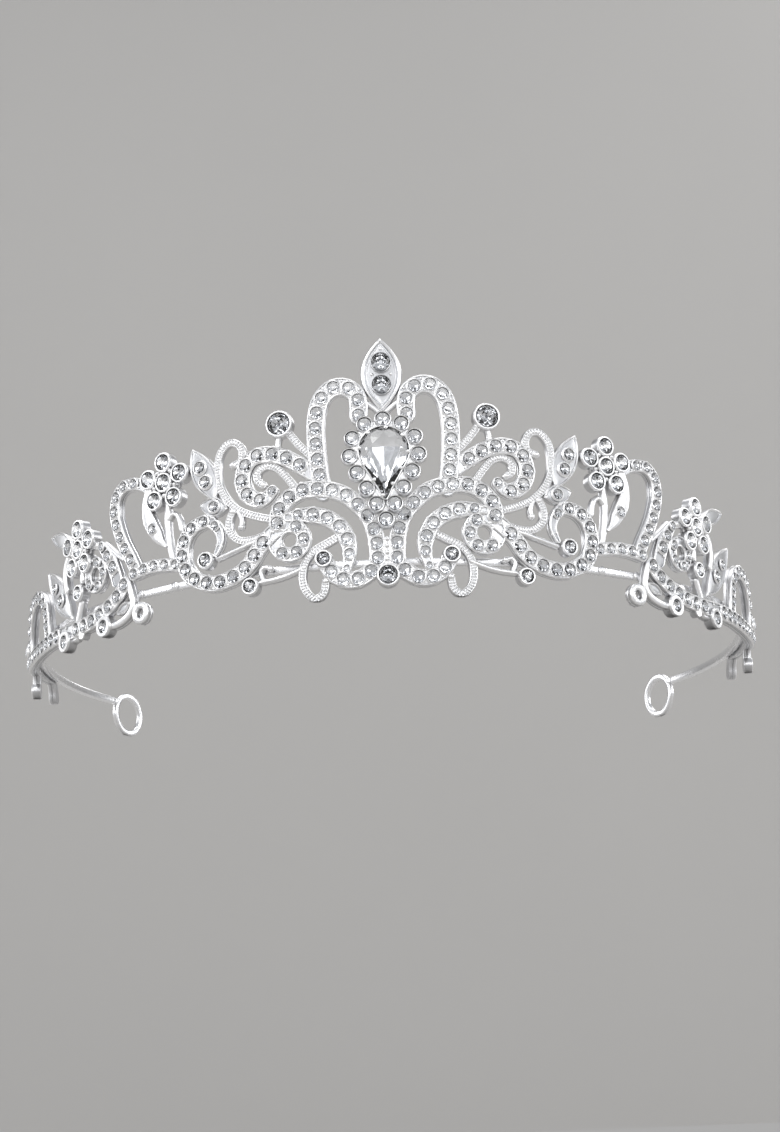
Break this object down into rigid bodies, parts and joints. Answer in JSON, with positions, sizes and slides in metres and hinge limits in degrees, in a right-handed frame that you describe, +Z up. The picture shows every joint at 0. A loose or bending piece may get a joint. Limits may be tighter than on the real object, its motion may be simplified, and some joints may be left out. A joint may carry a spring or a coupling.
{
  "type": "bridal tiara",
  "caption": "Silver openwork tiara with a pear centre stone, scrolls, flowers and leaves on a horseshoe headband that ends in two pin rings.",
  "frame": {"origin": "middle of the footprint, on the surface that the tiara stands on", "axes": "+Z up, the front faces -Y, +X towards the viewer's right when the front is seen"},
  "size_m": [0.1622, 0.1348, 0.0543],
  "materials": {
    "silver_plate": "bright silver plate over cast alloy, softly polished",
    "clear_crystal": "clear, faceted"
  },
  "bodies": {
    "root": {"headband": "silver_plate", "centre_casting": "silver_plate", "pear_setting": "silver_plate", "end_ring_left": "silver_plate", "shoulder_casting_left": "silver_plate", "tail_casting_left": "silver_plate", "end_ring_right": "silver_plate", "shoulder_casting_right": "silver_plate", "tail_casting_right": "silver_plate", "pear_stone": "clear_crystal", "finial_stone_lower": "clear_crystal", "finial_stone_upper": "clear_crystal", "pendant_stone": "clear_crystal", "ball_stone_left": "clear_crystal", "border_stone_left": "clear_crystal", "foot_stone_left": "clear_crystal", "ring_stone_left": "clear_crystal", "flower_one_centre_stone_left": "clear_crystal", "flower_one_petal_stone_1_left": "clear_crystal", "flower_one_petal_stone_2_left": "clear_crystal", "flower_one_petal_stone_3_left": "clear_crystal", "flower_one_petal_stone_4_left": "clear_crystal", "flower_one_petal_stone_5_left": "clear_crystal", "flower_two_centre_stone_left": "clear_crystal", "flower_two_petal_stone_1_left": "clear_crystal", "flower_two_petal_stone_2_left": "clear_crystal", "flower_two_petal_stone_3_left": "clear_crystal", "flower_two_petal_stone_4_left": "clear_crystal", "flower_two_petal_stone_5_left": "clear_crystal", "drop_stone_front_left": "clear_crystal", "drop_stone_back_left": "clear_crystal", "stalk_stone_left": "clear_crystal", "tail_stone_left": "clear_crystal", "ball_stone_right": "clear_crystal", "border_stone_right": "clear_crystal", "foot_stone_right": "clear_crystal", "ring_stone_right": "clear_crystal", "flower_one_centre_stone_right": "clear_crystal", "flower_one_petal_stone_1_right": "clear_crystal", "flower_one_petal_stone_2_right": "clear_crystal", "flower_one_petal_stone_3_right": "clear_crystal", "flower_one_petal_stone_4_right": "clear_crystal", "flower_one_petal_stone_5_right": "clear_crystal", "flower_two_centre_stone_right": "clear_crystal", "flower_two_petal_stone_1_right": "clear_crystal", "flower_two_petal_stone_2_right": "clear_crystal", "flower_two_petal_stone_3_right": "clear_crystal", "flower_two_petal_stone_4_right": "clear_crystal", "flower_two_petal_stone_5_right": "clear_crystal", "drop_stone_front_right": "clear_crystal", "drop_stone_back_right": "clear_crystal", "stalk_stone_right": "clear_crystal", "tail_stone_right": "clear_crystal"}
  },
  "joints": []
}
